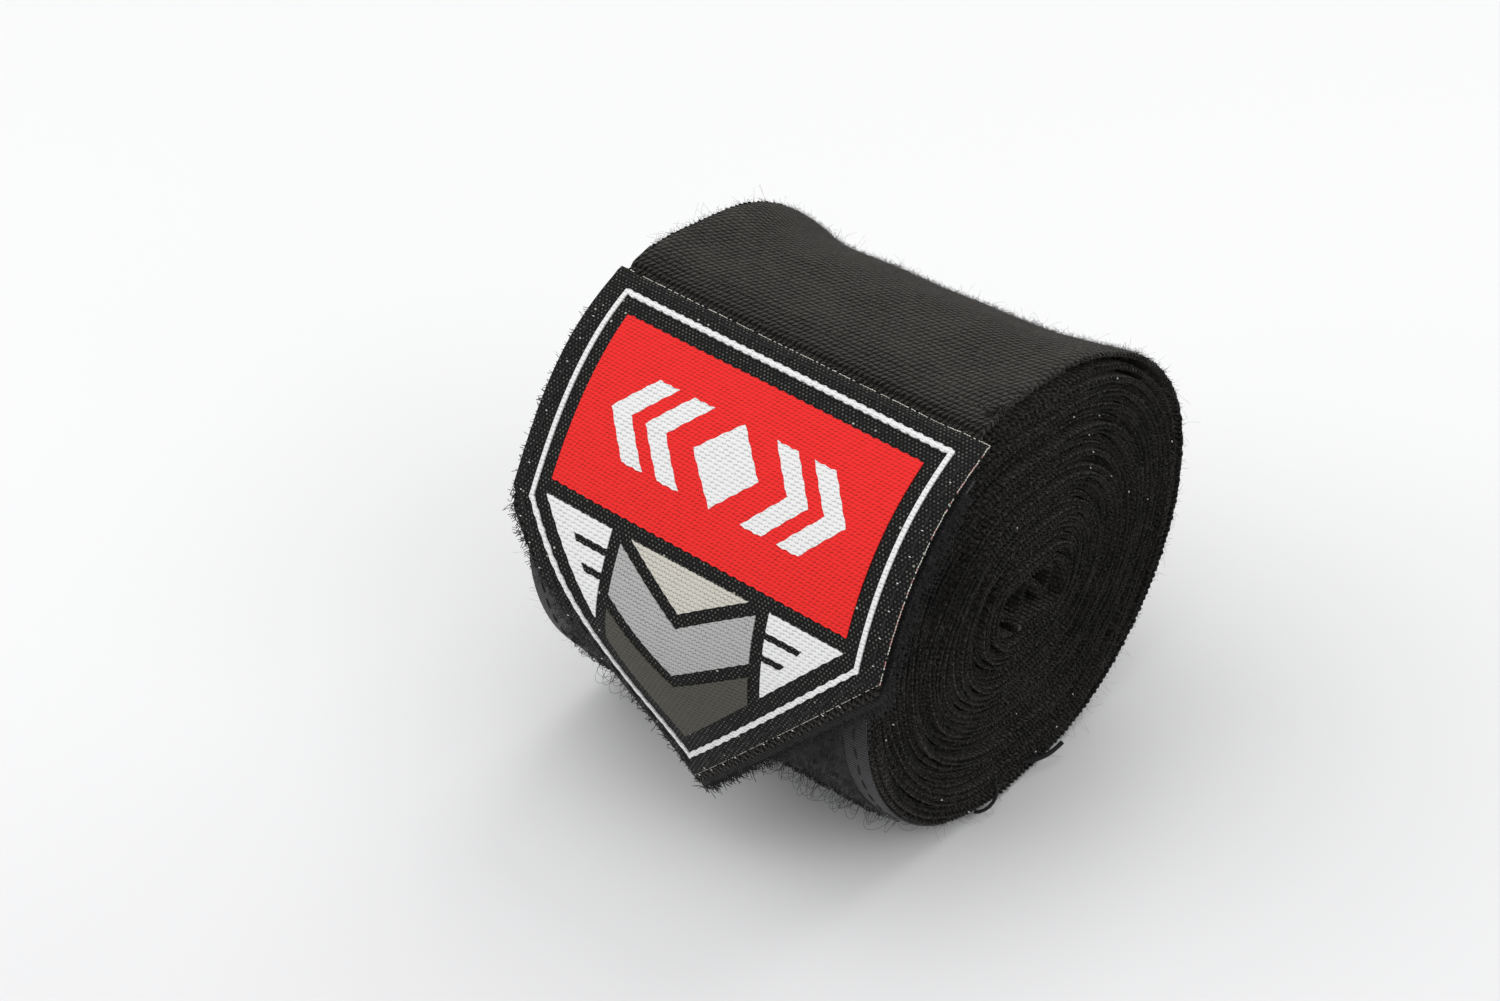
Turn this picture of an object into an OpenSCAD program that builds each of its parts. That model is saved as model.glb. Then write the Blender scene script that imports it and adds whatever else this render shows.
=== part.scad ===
// Hand wrap, rolled up and closed by its hook and loop tab.
// The roll's axis lies along X, -Y is the side with the label, and Z is up.
// The origin is the middle of the flat stretch that the roll rests on.

/* [Band] */
// Width of the cotton band
band_w = 50; // [45:1:55]
// Thickness of the band
band_t = 0.77; // [0.70:0.01:0.79]
// Distance from one turn of the roll to the next
turn_pitch = 0.83; // [0.83:0.01:0.90]
// Number of close turns in the roll
turns = 28; // [26:1:29]
// Inner radius of the first turn
core_r = 2.8; // [2.8:0.1:3.1]
// Half of the flat stretch at the top and the bottom of each turn
flat_half = 3; // [2.6:0.1:3.4]
// Gap that the loose outer turn leaves at the top of the roll
loose_gap = 1.0; // [0.8:0.1:1.2]
// How far the roll's weight presses the cloth flat where it rests
rest_squash = 0.35; // [0.25:0.05:0.5]

/* [Closing tab] */
// Gap between the tab's cloth and the turn below it, at the front
tab_gap = 3.0; // [3.0:0.1:3.3]
// Angle from the top of the roll to the tab's upper edge
tab_start = 16; // [12:1:18]
// Length of the tab's straight sides, along the cloth
side_len = 29; // [27:1:30]
// Length of the tab from its upper edge to its tip, along the cloth
tab_len = 54.5; // [52:0.5:56]
// Width of the tab and of its label
tab_w = 52.4; // [50:0.2:54]
// How far the tab sits off the middle of the band
tab_x = 1.0; // [0:0.1:1.4]

/* [Tapes] */
// Thickness of the woven base of the hook tape and of the loop tape
tape_base_t = 0.35; // [0.30:0.01:0.36]
// Height of the loops on the loop tape
pile_h = 0.8; // [0.6:0.05:0.8]
// Height of the hooks on the hook tape
hook_h = 0.6; // [0.4:0.05:0.6]
// Width of the bare woven edge on each side of the loop tape
tape_edge = 3.2; // [2.5:0.1:4.0]
// Angle round the roll at which the loop tape starts
loop_from = 160; // [160:1:164]
// Angle round the roll at which the loop tape ends
loop_to = 246; // [220:1:248]

/* [Label] */
// Thickness of the label's black ground weave
label_t = 0.5; // [0.4:0.05:0.5]
// How far the coloured threads stand above the ground weave
float_t = 0.13; // [0.10:0.01:0.15]
// Distance from the label's edge to the white border line
border_in = 2.6; // [2.2:0.1:3.0]
// Width of the white border line
border_w = 0.95; // [0.7:0.05:1.2]
// Width of the red panel
panel_w = 42.1; // [38:0.1:43]
// Distance from the label's upper edge to the red panel
panel_top = 5.4; // [5.2:0.1:6]
// Length of the red panel, along the cloth
panel_len = 19.7; // [17:0.1:20]
// Width of the black gap between the coloured areas
gap_w = 1.6; // [1.2:0.1:2]

/* [Sewing] */
// Length of one stitch
stitch_len = 2.0; // [1.6:0.1:2.4]
// Distance from one stitch to the next
stitch_step = 2.9; // [2.7:0.1:3.4]
// Width of the sewing thread
thread_d = 0.32; // [0.2:0.02:0.4]

/* [Hidden] */
$fn = 120;

// Height of the middle of the back half turns, and of the front half turns.
mid_z = core_r + turns * turn_pitch + band_t - rest_squash;
front_z = mid_z - turn_pitch / 2;
// Outer radius of the front half turn that the tab closes over.
under_r = core_r + (turns - 0.5) * turn_pitch + band_t;
// Inner face of the loose outer turn at the top of the roll.
top_z = mid_z + core_r + turns * turn_pitch + loose_gap;
// Inner radius of the tab's cloth, and the height of its centre.
tab_r = under_r + tab_gap;
tab_z = top_z - tab_r;
// Angles are measured at the front centre: 90 is the top and 180 is the front.
tab_angle = 90 + tab_start;
hinge_gap = 0.3;
label_r = tab_r + band_t;
face_r = label_r + label_t;
// Heights of the tab's side corners and of its tip, seen from the front.
corner_z = tab_z + label_r * sin(tab_angle + side_len * deg_per_mm());
tip_z = tab_z - (tab_len - (180 - tab_angle) / deg_per_mm());
slope = (corner_z - tip_z) / (tab_w / 2);
tape_z = tape_base_t + pile_h;
seam_h = 0.14;
cut_d = 0.02;
huge = 200;

// Angle that one millimetre of cloth takes up on the tab's curve.
function deg_per_mm() = 180 / (PI * (under_r + tab_gap + band_t));

// Angle round the tab's curve at a distance from its upper edge.
function cloth_angle(s) = tab_angle + s * deg_per_mm();

// Height on the outline's diagonal edge, moved in by a distance.
function edge_z(x, inset) = tip_z + slope * x + inset * sqrt(1 + slope * slope);

// Draws a shape given as (Y, Z) as a bar of a width along X.
module along_x(w, x = 0) {
  translate([x - w / 2, 0, 0]) rotate([90, 0, 90]) linear_extrude(w) children();
}

// A slice of a round shape, between two angles less than 170 degrees apart.
module slice(a0, a1, reach) {
  mid = (a0 + a1) / 2;
  far = reach / cos((a1 - a0) / 4);
  polygon([[0, 0], far * [cos(a0), sin(a0)], far * [cos(mid), sin(mid)], far * [cos(a1), sin(a1)]]);
}

// Part of a ring between two angles.
module ring_part(r0, r1, a0, a1) {
  intersection() {
    difference() {
      circle(r1);
      circle(r0);
    }
    slice(a0, a1, r1 * 1.2);
  }
}

// Half of a ring: side 1 is the back half, side -1 is the front half.
module half_ring(r, side) {
  intersection() {
    difference() {
      circle(r + band_t);
      circle(r);
    }
    translate([side > 0 ? 0 : -huge, -huge]) square([huge, 2 * huge]);
  }
}

// A flat stretch of band between the two half turns.
module flat_part(z) {
  translate([-flat_half, z]) square([2 * flat_half, band_t]);
}

// The band seen along the roll's axis.
module band_profile() {
  flat_part(mid_z - core_r - band_t);
  for (j = [0 : 2 * turns - 1]) {
    r = core_r + j * turn_pitch / 2;
    if (j % 2 == 0) {
      translate([flat_half, mid_z]) half_ring(r, 1);
      flat_part(mid_z + r);
    } else {
      translate([-flat_half, front_z]) half_ring(r, -1);
      flat_part(front_z - r - band_t);
    }
  }
  outer_r = core_r + turns * turn_pitch + loose_gap / 2;
  translate([flat_half, mid_z + loose_gap / 2]) half_ring(outer_r, 1);
  flat_part(top_z);
  translate([-flat_half, tab_z]) ring_part(tab_r, tab_r + band_t, 90, tab_angle);
}

module wrap_band() {
  color([0.10, 0.10, 0.11]) along_x(band_w) difference() {
    band_profile();
    translate([-huge / 2, -huge]) square([huge, huge]);
  }
}

// Loop for the thumb, folded flat in the core of the roll.
module thumb_loop() {
  loop_t = 0.7;
  loop_r = core_r - 0.2;
  color([0.08, 0.08, 0.09]) along_x(band_w - 2) translate([0, mid_z]) {
    difference() {
      long_round(loop_r);
      long_round(loop_r - loop_t);
    }
    translate([-flat_half, -loop_t / 2]) square([2 * flat_half + loop_r - loop_t / 2, loop_t]);
  }
}

// A flat-sided oval with true round ends.
module long_round(r) {
  translate([-flat_half, -r]) square([2 * flat_half, 2 * r]);
  for (side = [-1, 1]) translate([side * flat_half, 0]) circle(r);
}

// Dense row of stitches that holds the thumb loop to the end of the band.
module thumb_loop_tack() {
  tack_t = 0.16;
  tack_step = 1.5;
  color([0.05, 0.05, 0.05])
    for (x = [-band_w / 2 + 3 : tack_step : band_w / 2 - 3])
      translate([x - thread_d / 2, -1.2, mid_z - core_r + cut_d]) cube([thread_d, 2.4, tack_t]);
}

// Places children on the front half turn under the tab; local Z points outwards.
module on_roll(angle) {
  translate([0, -flat_half, front_z]) rotate([angle - 90, 0, 0]) children();
}

// Places children on the tab's curve; local Z points outwards.
module on_tab(angle) {
  translate([0, -flat_half, tab_z]) rotate([angle - 90, 0, 0]) children();
}

module loop_tape_base() {
  color([0.13, 0.13, 0.14]) along_x(band_w - 0.6)
    translate([-flat_half, front_z]) ring_part(under_r, under_r + tape_base_t, loop_from, loop_to);
}

module loop_tape_pile() {
  r = under_r + tape_base_t;
  color([0.07, 0.07, 0.08]) along_x(band_w - 0.6 - 2 * tape_edge)
    translate([-flat_half, front_z]) ring_part(r, r + pile_h, loop_from + 1.5, loop_to - 1.5);
}

// One stitch lying along X or across it, on a surface at local Z of zero.
module stitch(across = false) {
  size = across ? [thread_d, stitch_len, seam_h] : [stitch_len, thread_d, seam_h];
  translate([-size[0] / 2, -size[1] / 2, 0]) cube(size);
}

module loop_tape_side_seams() {
  r = under_r + tape_base_t;
  step = stitch_step * 180 / (PI * r);
  x = band_w / 2 - tape_edge / 2 - 0.3;
  color([0.05, 0.05, 0.05])
    for (angle = [loop_from + 6 : step : loop_to - 4], side = [-1, 1])
      on_roll(angle) translate([side * x, 0, r]) stitch(across = true);
}

module loop_tape_end_seams() {
  r = under_r + tape_base_t;
  color([0.05, 0.05, 0.05])
    for (x = [-band_w / 2 + 4.5 : stitch_step : band_w / 2 - 4.5], angle = [loop_from + 0.7, loop_to - 0.7])
      on_roll(angle) translate([x, 0, r]) stitch();
}

// Cloth of the tab seen along the roll's axis, between two radii.
module tab_profile(r0, r1, from = 0) {
  translate([-flat_half, tab_z]) ring_part(r0, r1, cloth_angle(from), 180);
  translate([-flat_half - r1, tip_z - 1]) square([r1 - r0, tab_z - tip_z + 1]);
}

// The pointed shield outline, seen from the front, moved in by a distance.
module shield(inset = 0) {
  half = tab_w / 2 - inset;
  translate([tab_x, 0])
    polygon([[-half, top_z + 10], [-half, edge_z(half, inset)], [0, edge_z(0, inset)],
             [half, edge_z(half, inset)], [half, top_z + 10]]);
}

// Cuts a front outline, given as (X, Z), through the cloth of the tab.
module front_cut() {
  rotate([90, 0, 0]) linear_extrude(huge) children();
}

// A layer of the tab: a shield between two radii, from a distance down the cloth.
module tab_layer(r0, r1, from, inset) {
  intersection() {
    along_x(tab_w + 4, tab_x) tab_profile(r0, r1, from);
    front_cut() shield(inset);
  }
}

module tab_cloth() {
  color([0.09, 0.09, 0.10]) tab_layer(tab_r, label_r, hinge_gap, 1.0);
}

hook_from = 4;
module hook_tape_base() {
  color([0.06, 0.06, 0.07]) tab_layer(tab_r - tape_base_t, tab_r, hook_from, 1.6);
}

// Rows of hooks under the tab, each row a low rib along X.
module hook_rows() {
  row_step = 1.5;
  row_w = 0.5;
  r = tab_r - tape_base_t;
  arc_end = (180 - tab_angle) / deg_per_mm();
  color([0.10, 0.10, 0.11]) intersection() {
    union() {
      for (s = [hook_from + 1 : row_step : arc_end - 1])
        on_tab(cloth_angle(s))
          translate([tab_x - tab_w / 2, -row_w / 2, r - hook_h]) cube([tab_w, row_w, hook_h]);
      for (z = [tab_z - 0.8 : -row_step : tip_z])
        translate([tab_x - tab_w / 2, -flat_half - r, z - row_w]) cube([tab_w, hook_h, row_w]);
    }
    front_cut() shield(2.4);
  }
}

module label_ground() {
  color([0.04, 0.04, 0.04]) tab_layer(label_r, face_r, hinge_gap, 0);
}

// A thin layer of coloured thread on the label, between two distances down the cloth.
module thread_band(s0, s1, w) {
  along_x(w, tab_x) translate([-flat_half, tab_z])
    ring_part(face_r, face_r + float_t, cloth_angle(s0), cloth_angle(s1));
}

module label_border() {
  color([0.93, 0.93, 0.94]) {
    thread_band(border_in, border_in + border_w, tab_w - 2 * border_in);
    difference() {
      tab_layer(face_r, face_r + float_t, border_in + border_w, border_in);
      front_cut() shield(border_in + border_w);
    }
  }
}

module label_red_panel() {
  color([0.85, 0.05, 0.05]) difference() {
    thread_band(panel_top, panel_top + panel_len, panel_w);
    motif_cut();
  }
}

// Diamond between two pairs of chevrons.
mark_h = 9.6;
module motif() {
  polygon([[-4.6, 0], [0, -mark_h / 2], [4.6, 0], [0, mark_h / 2]]);
  for (side = [-1, 1], k = [0, 1]) {
    x = 4.4 + 5.2 * k;
    polygon([[side * x, mark_h / 2], [side * (x + 3), mark_h / 2], [side * (x + 7.2), 0],
             [side * (x + 3), -mark_h / 2], [side * x, -mark_h / 2], [side * (x + 4.2), 0]]);
  }
}

// The motif as a prism that stands across the middle of the red panel.
module motif_cut() {
  on_tab(cloth_angle(panel_top + panel_len / 2))
    translate([tab_x, 0, face_r - 5]) linear_extrude(10) motif();
}

module label_white_motif() {
  color([0.92, 0.92, 0.93]) intersection() {
    thread_band(panel_top, panel_top + panel_len, panel_w);
    motif_cut();
  }
}

// Everything below concerns the pointed half of the label, under the red panel.
emblem_from = panel_top + panel_len + gap_w;
emblem_in = border_in + border_w + gap_w;
column_half = 9.6;
emblem_z = tab_z + face_r * sin(cloth_angle(emblem_from));

// Coloured thread on the pointed half, inside a front outline.
module emblem_part() {
  intersection() {
    tab_layer(face_r, face_r + float_t, emblem_from, emblem_in);
    front_cut() translate([tab_x, 0]) children();
  }
}

// A V-shaped band between two depths below the emblem's top line.
module vee(depth0, depth1) {
  rise = 0.55 * column_half;
  top = emblem_z + rise;
  polygon([[-column_half, top - depth0], [0, emblem_z - depth0], [column_half, top - depth0],
           [column_half, top - depth1], [0, emblem_z - depth1], [-column_half, top - depth1]]);
}

module label_corner_wedges() {
  color([0.90, 0.90, 0.91]) emblem_part()
    for (side = [-1, 1])
      translate([side > 0 ? column_half + gap_w : -huge - column_half - gap_w, tip_z])
        square([huge, huge]);
}

module label_cream_band() {
  color([0.76, 0.74, 0.66]) emblem_part() vee(-1, 4.6);
}

module label_silver_band() {
  color([0.62, 0.62, 0.64]) emblem_part() vee(4.6 + gap_w, 11.6);
}

module label_olive_band() {
  color([0.30, 0.29, 0.25]) emblem_part() vee(11.6 + gap_w, 40);
}

module label_top_seam() {
  half = tab_w / 2 - 2.2;
  color([0.06, 0.06, 0.06])
    for (x = [-half : stitch_step : half])
      on_tab(cloth_angle(1.5)) translate([tab_x + x, 0, face_r]) stitch();
}

// Stitches down both sides, then along both diagonal edges to the tip.
module label_edge_seams() {
  side_x = tab_w / 2 - 1.3;
  seam_z = edge_z(0, 1.3);
  run = (edge_z(side_x, 1.3) - seam_z) * sqrt(1 + 1 / (slope * slope));
  color([0.06, 0.06, 0.06]) {
    for (s = [3.2 : stitch_step : side_len - 1.6], side = [-1, 1])
      on_tab(cloth_angle(s)) translate([tab_x + side * side_x, 0, face_r]) stitch(across = true);
    intersection() {
      along_x(tab_w + 4, tab_x) tab_profile(face_r, face_r + seam_h, side_len - 4);
      for (d = [1.4 : stitch_step : run - 1.2], side = [-1, 1])
        translate([tab_x, 0, seam_z]) mirror([side < 0 ? 1 : 0, 0, 0]) rotate([0, -atan(slope), 0])
          translate([d, -huge, -thread_d / 2]) cube([stitch_len, huge, thread_d]);
    }
  }
}

// Small loop of sewing thread that stands out of the end of the roll.
module loose_thread_loop() {
  bend_r = 1.5;
  color([0.05, 0.05, 0.06])
    translate([band_w / 2, -7.5, 2.0]) rotate([0, 20, 0]) rotate([0, 0, -90])
      rotate_extrude(angle = 180) translate([bend_r, 0]) circle(thread_d / 2);
}

// Cut end of sewing thread that sticks out of the end of the roll.
module loose_thread_end() {
  color([0.05, 0.05, 0.06])
    translate([band_w / 2, 1.5, 1.0]) rotate([-24, 76, 0]) cylinder(d = thread_d, h = 4.2);
}

wrap_band();
thumb_loop();
thumb_loop_tack();
loop_tape_base();
loop_tape_pile();
loop_tape_side_seams();
loop_tape_end_seams();
tab_cloth();
hook_tape_base();
hook_rows();
label_ground();
label_border();
label_red_panel();
label_white_motif();
label_corner_wedges();
label_cream_band();
label_silver_band();
label_olive_band();
label_top_seam();
label_edge_seams();
loose_thread_loop();
loose_thread_end();
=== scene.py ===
"""Looks of a rolled hand wrap: a long cotton band, its hook and loop closure and its woven label.

Each cloth piece is modelled flat, in millimetres, as (across the band, along the band, height
above the cloth), and is then wrapped round the roll or onto the tab.
"""

import math
import random

import bmesh
import bpy
import numpy as np
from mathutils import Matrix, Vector


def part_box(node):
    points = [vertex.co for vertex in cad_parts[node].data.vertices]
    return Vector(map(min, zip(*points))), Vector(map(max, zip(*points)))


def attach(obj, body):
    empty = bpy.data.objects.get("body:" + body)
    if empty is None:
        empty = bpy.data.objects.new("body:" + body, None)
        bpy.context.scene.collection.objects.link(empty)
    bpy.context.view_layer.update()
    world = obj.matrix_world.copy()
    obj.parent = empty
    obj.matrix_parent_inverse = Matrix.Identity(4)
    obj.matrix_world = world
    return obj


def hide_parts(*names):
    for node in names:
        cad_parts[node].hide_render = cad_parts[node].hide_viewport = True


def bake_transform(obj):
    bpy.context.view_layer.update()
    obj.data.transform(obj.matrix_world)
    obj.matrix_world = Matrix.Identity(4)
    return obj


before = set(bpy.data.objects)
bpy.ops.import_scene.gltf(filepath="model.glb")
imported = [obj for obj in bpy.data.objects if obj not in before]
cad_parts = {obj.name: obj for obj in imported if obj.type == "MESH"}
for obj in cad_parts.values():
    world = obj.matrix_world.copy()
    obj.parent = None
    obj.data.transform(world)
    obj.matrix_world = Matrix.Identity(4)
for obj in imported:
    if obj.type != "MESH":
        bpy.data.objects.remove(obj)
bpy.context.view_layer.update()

MM = 0.001
PI = math.pi

# The roll's own sizes, in millimetres, as the frame was designed.
CLOTH_T = 0.77
TURN_PITCH = 0.83
TURNS = 28
CORE_R = 2.8
FLAT_HALF = 3.0
LOOSE_GAP = 1.0
REST_SQUASH = 0.35
TAB_GAP = 3.0
TAB_START = 106.0
TAB_X = 1.0
TAB_W = 52.4
SIDE_LEN = 29.0
TAB_LEN = 54.5
TAPE_BASE_T = 0.35
PILE_H = 0.8
TAPE_EDGE = 3.2
LOOP_FROM = 160.0
LOOP_TO = 246.0
LABEL_T = 0.5
FLOAT_T = 0.13
BORDER_IN = 2.6
BORDER_W = 0.95
PANEL_W = 42.1
PANEL_TOP = 5.4
PANEL_LEN = 19.7
GAP_W = 1.6
# Sizes of small things: one stitch to the next, the white line's thread, and how far the label's
# ground stops short of the point, where the darker layers below it show.
STITCH_PITCH = 2.9
LINE_THREAD = 0.56
POINT_BACK = 0.9
# Under face of the outer cloth, on which the hook tape is sewn under the tab.
TAB_UNDER = -CLOTH_T + 0.05

BAND_LOW, BAND_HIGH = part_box("wrap_band")
BAND_HALF = (BAND_HIGH.x - BAND_LOW.x) / 2 / MM

# Heights and radii that follow from the sizes above.
MID_Z = CORE_R + TURNS * TURN_PITCH + CLOTH_T - REST_SQUASH
FRONT_Z = MID_Z - TURN_PITCH / 2
UNDER_R = CORE_R + (TURNS - 0.5) * TURN_PITCH + CLOTH_T
TOP_Z = MID_Z + CORE_R + TURNS * TURN_PITCH + LOOSE_GAP
TAB_R = UNDER_R + TAB_GAP
TAB_Z = TOP_Z - TAB_R
LABEL_R = TAB_R + CLOTH_T
ARC_LEN = math.radians(180 - TAB_START) * LABEL_R


# ---------------------------------------------------------------- surfaces that cloth is wrapped on


def ease(t):
    """Smooth step from 0 to 1, on arrays."""
    t = np.clip(t, 0.0, 1.0)
    return t * t * (3 - 2 * t)


def window(angle, centre, half_width):
    """1 at the centre angle and 0 past half_width from it, in degrees, on arrays."""
    off = np.abs((angle - centre + 180) % 360 - 180)
    return ease(1 - off / half_width)


def roll_line():
    """The outer face of the band along the whole roll: rows of y, z, normal y, normal z, turn number."""
    rows = []

    def arc(cy, cz, r, start, end, turn):
        count = max(8, int(r * math.radians(end - start) / 0.6))
        for i in range(count):
            a = math.radians(start + (end - start) * i / count)
            rows.append((cy + r * math.cos(a), cz + r * math.sin(a), math.cos(a), math.sin(a), turn + i / count / 2))

    def straight(z, side, turn):
        for i in range(6):
            rows.append((side * (FLAT_HALF - 2 * FLAT_HALF * i / 6), z, 0.0, float(side), turn))

    straight(MID_Z - CORE_R - CLOTH_T, -1, 0)
    for half in range(2 * TURNS):
        r = CORE_R + half * TURN_PITCH / 2 + CLOTH_T
        if half % 2 == 0:
            arc(FLAT_HALF, MID_Z, r, -90, 90, half / 2)
            straight(MID_Z + r, 1, (half + 1) / 2)
        else:
            arc(-FLAT_HALF, FRONT_Z, r, 90, 270, half / 2)
            straight(FRONT_Z - r, -1, (half + 1) / 2)
    loose_r = CORE_R + TURNS * TURN_PITCH + LOOSE_GAP / 2 + CLOTH_T
    arc(FLAT_HALF, MID_Z + LOOSE_GAP / 2, loose_r, -90, 90, TURNS)
    straight(TOP_Z + CLOTH_T, 1, TURNS + 0.5)
    arc(-FLAT_HALF, TAB_Z, LABEL_R, 90, TAB_START + 4, TURNS + 0.5)
    return np.array(rows)


LINE = roll_line()
LINE_S = np.concatenate([[0.0], np.cumsum(np.hypot(*np.diff(LINE[:, :2], axis=0).T))])
# Distance along the band at which the tab's upper edge starts.
S_TAB = LINE_S[-1] - math.radians(4.0) * LABEL_R + 0.6
# Turn number from which the outer, loose turns keep their place.
LAST_TIGHT = TURNS - 3.3
# How far above the tab the band's last piece starts.
TAIL_LEAD = 4.2


def settle(x, s, y, z):
    """The loose end leans and lifts a little towards the tab, s being the distance past the tab's upper edge."""
    amount = ease((s + 34) / 34)
    y = y - amount * (0.84 + 0.023 * x)
    z = z + amount * (1.24 - 0.0244 * x)
    return x, y, z


def loose_height(x, s, angle):
    """Uneven lie of the loose outer turn, s being the distance past the tab's upper edge."""
    flare = 1.45 * window(angle, 62, 50) * ease((-x - 16.5) / 7) + 0.35 * ease((np.abs(x) - 20) / 5)
    ripple = 0.05 * np.sin(0.31 * x + 0.06 * s) + 0.10 * np.sin(0.23 * s - 0.05 * x) + 0.04 * np.sin(0.55 * x - 0.4 * s)
    furrow = -0.62 * np.exp(-(((s + 0.4) / 0.7) ** 2)) - 0.15 * np.exp(-(((s + 3.2 + 0.05 * x) / 1.5) ** 2))
    return (flare * window(angle, 60, 115) + ripple * window(angle, 60, 150) + furrow) * ease(1 - s / 2)


def on_band(flat):
    """Wraps flat points (across, along the band, height) round the roll."""
    x, s, h = flat.T
    y, z, ny, nz, turn = (np.interp(s, LINE_S, LINE[:, k]) for k in range(5))
    size = np.maximum(np.hypot(ny, nz), 1e-6)
    ny, nz = ny / size, nz / size
    angle = np.degrees(np.arctan2(nz, ny))
    inner = np.clip(turn / LAST_TIGHT, 0, 1) * (turn < LAST_TIGHT)
    outer = ease((turn - TURNS + 1.0) / 0.5)
    # The roll is pressed a little flat at the back, above and below.
    press = 1.5 * window(angle, 46, 66) * (1 - 0.8 * ease((x - 13) / 10)) + 0.75 * window(angle, -28, 62)
    h = h - np.clip(turn / TURNS, 0, 1) * press
    # The close turns sit a little off the outer ones at the back and below.
    h = h - 0.95 * inner * window(angle, -24, 90)
    sway = 0.40 * np.sin(np.radians(2 * angle) + 0.7) + 0.22 * np.sin(np.radians(3 * angle) + 1.1 + 0.16 * turn)
    h = h + inner * (1 - inner) * 3 * sway + 0.07 * np.sin(np.radians(5 * angle) + 2.2 * turn)
    # The last turns under the tab stand a little off each other, up to where the loop tape starts.
    h = h + 1.35 * window(angle, 126, 32) * np.clip((turn - TURNS + 7.0) / 6.6, 0, 1) * (turn < TURNS + 0.2)
    # Each turn is wound a little to one side of the last.
    drift = 0.34 * np.sin(s / 13.0 + 1.3) + 0.22 * np.sin(s / 5.1) + 0.30 * np.sin(s / 61.0 + 0.5)
    ring = 0.75 * np.exp(-(((turn - 16.5) / 0.9) ** 2)) + 0.6 * np.exp(-(((turn - 21.8) / 0.7) ** 2))
    x = x + (drift - ring) * (1 - 0.75 * outer)
    # Beside the label the right edges lie a little deeper.
    x = x - 1.3 * ease((x - 14) / 8) * window(angle, 138, 62) * ease((turn - 15) / 9)
    h = h + outer * loose_height(x, s - S_TAB, angle)
    out = np.stack(settle(x, s - S_TAB, y + ny * h, z + nz * h), -1)
    out[:, 2] = np.maximum(out[:, 2], 0.02)
    return out


def on_tab(flat):
    """Wraps flat points (across from the tab's middle, down the cloth, height) onto the tab."""
    x, s, h = flat.T
    bend = np.minimum(s, ARC_LEN)
    angle = math.radians(TAB_START) + bend / LABEL_R
    drop = s - bend
    sway = 0.12 * np.sin(0.23 * x + 0.21 * s) * ease(s / 12) + 0.25 * np.sin(0.21 * x + 0.9) * ease((s - 30) / 14)
    r = LABEL_R + h + sway + loose_height(x + TAB_X, s, np.degrees(angle)) * (s < 2.5)
    # Below its straight sides the tab's left half puffs out a little.
    puff = 2.2 * np.exp(-(((s - 37) / 9) ** 2)) * ease((14 - x) / 22)
    y = -FLAT_HALF + r * np.cos(angle) + 0.0031 * drop**2 - puff
    z = TAB_Z + r * np.sin(angle) - drop - 0.0046 * np.maximum(s, 0)
    across = x + TAB_X - 0.15 * ease((s + 2.6) / 2.6) + 0.063 * np.maximum(s, 0)
    return np.stack(settle(across, s, y, z), -1)


def on_under(flat):
    """Wraps flat points (across, down from the loop tape's upper end, height) onto the turn below."""
    x, s, h = flat.T
    angle = math.radians(LOOP_FROM) + s / UNDER_R
    r = UNDER_R + h
    return np.stack([x, -FLAT_HALF + r * np.cos(angle), FRONT_Z + r * np.sin(angle)], -1)


# ---------------------------------------------------------------- building pieces


def coordinates(mesh):
    """A mesh's points as an array."""
    co = np.zeros(len(mesh.vertices) * 3, np.float32)
    mesh.vertices.foreach_get("co", co)
    return co.reshape(-1, 3).astype(float)


def set_coordinates(mesh, co):
    mesh.vertices.foreach_set("co", co.astype(np.float32).ravel())
    mesh.update()


def flat_uv(mesh, co):
    """Gives each face corner its flat place, in millimetres, as its UV."""
    layer = mesh.uv_layers.new(name="cloth")
    index = np.zeros(len(mesh.loops), np.int32)
    mesh.loops.foreach_get("vertex_index", index)
    layer.data.foreach_set("uv", co[index, :2].astype(np.float32).ravel())


def add_object(name, data, material):
    data.materials.append(material)
    obj = bpy.data.objects.new(name, data)
    bpy.context.scene.collection.objects.link(obj)
    return obj


def wrapped(name, bm, surface, material):
    """Turns a flat bmesh into a finished piece: UV from the flat place, then wrapped and in metres."""
    bmesh.ops.recalc_face_normals(bm, faces=bm.faces[:])
    mesh = bpy.data.meshes.new(name)
    bm.to_mesh(mesh)
    bm.free()
    co = coordinates(mesh)
    flat_uv(mesh, co)
    set_coordinates(mesh, surface(co) * MM)
    mesh.flip_normals()
    mesh.shade_smooth()
    mesh.set_sharp_from_angle(angle=math.radians(50))
    return add_object(name, mesh, material)


def finish(obj, body, slot, *replaced):
    """Says what a piece moves with and hides the CAD nodes it stands for. Its finish slot is not used."""
    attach(obj, body)
    if replaced:
        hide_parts(*replaced)
    return obj


def strip(x0, x1, s0, s1, step_x, step_s, top, bottom):
    """A flat strip of cloth with two faces, as a bmesh."""
    bm = bmesh.new()
    bmesh.ops.create_grid(
        bm, x_segments=max(1, round((x1 - x0) / step_x)), y_segments=max(1, round((s1 - s0) / step_s)), size=0.5
    )
    for v in bm.verts:
        v.co = (x0 + (v.co.x + 0.5) * (x1 - x0), s0 + (v.co.y + 0.5) * (s1 - s0), top)
    bmesh.ops.solidify(bm, geom=bm.faces[:], thickness=top - bottom)
    level(bm, top, bottom)
    return bm


def level(bm, top, bottom):
    """Puts the two faces of a solidified sheet at exact heights."""
    heights = [v.co.z for v in bm.verts]
    middle = (min(heights) + max(heights)) / 2
    for v in bm.verts:
        v.co.z = top if v.co.z > middle else bottom


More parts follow.
